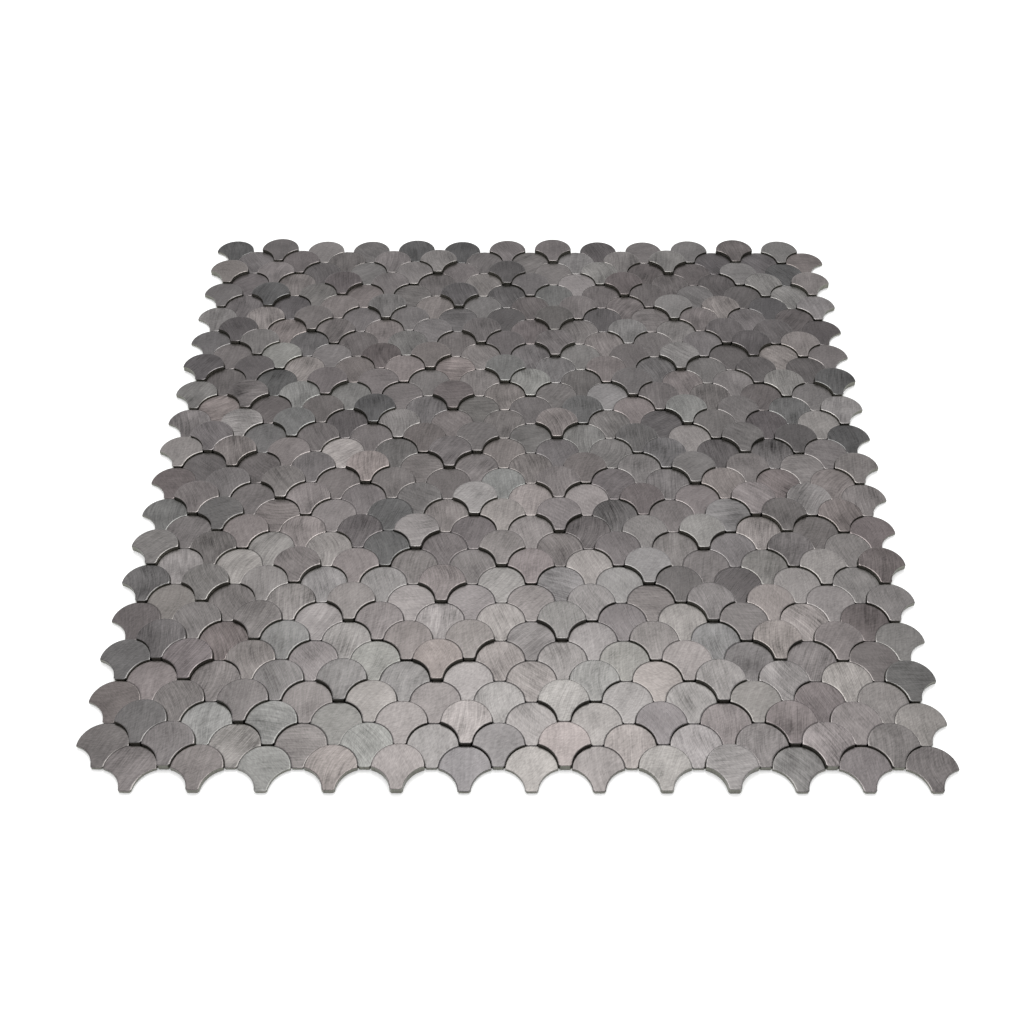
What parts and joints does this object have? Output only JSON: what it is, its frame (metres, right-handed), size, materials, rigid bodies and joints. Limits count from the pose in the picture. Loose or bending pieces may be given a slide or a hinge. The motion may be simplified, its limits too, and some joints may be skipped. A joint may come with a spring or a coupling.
{
  "type": "self-adhesive metal mosaic tile",
  "caption": "Flat wall-covering sheet of interlocking fan-shaped brushed metal chips in three thicknesses, on a peel-and-stick adhesive backing.",
  "frame": {"origin": "middle of the sheet's underside, on the release liner", "axes": "+Z out of the chips' faces, +Y the way the round heads of the chips point, +X along a row"},
  "size_m": [0.2992, 0.3148, 0.0032],
  "materials": {
    "chip_metal": "brushed, each chip in its own direction, in dark grey with warmer, cooler and lighter chips",
    "adhesive": "tacky black foam film, soft at its cut edge",
    "liner_paper": "smooth siliconed paper, pale cream"
  },
  "bodies": {
    "root": {"chips_row_01": "chip_metal", "chips_row_02": "chip_metal", "chips_row_03": "chip_metal", "chips_row_04": "chip_metal", "chips_row_05": "chip_metal", "chips_row_06": "chip_metal", "chips_row_07": "chip_metal", "chips_row_08": "chip_metal", "chips_row_09": "chip_metal", "chips_row_10": "chip_metal", "chips_row_11": "chip_metal", "chips_row_12": "chip_metal", "chips_row_13": "chip_metal", "chips_row_14": "chip_metal", "chips_row_15": "chip_metal", "chips_row_16": "chip_metal", "chips_row_17": "chip_metal", "chips_row_18": "chip_metal", "chips_row_19": "chip_metal", "chips_row_20": "chip_metal", "chips_row_21": "chip_metal", "chips_row_22": "chip_metal", "chips_row_23": "chip_metal", "chips_row_24": "chip_metal", "chips_row_25": "chip_metal", "chips_row_26": "chip_metal", "chips_row_27": "chip_metal", "chips_row_28": "chip_metal", "chips_row_29": "chip_metal", "chips_row_30": "chip_metal", "chips_row_31": "chip_metal", "chips_row_32": "chip_metal", "chips_row_33": "chip_metal", "chips_row_34": "chip_metal", "adhesive_sheet": "adhesive", "release_liner": "liner_paper"}
  },
  "joints": []
}
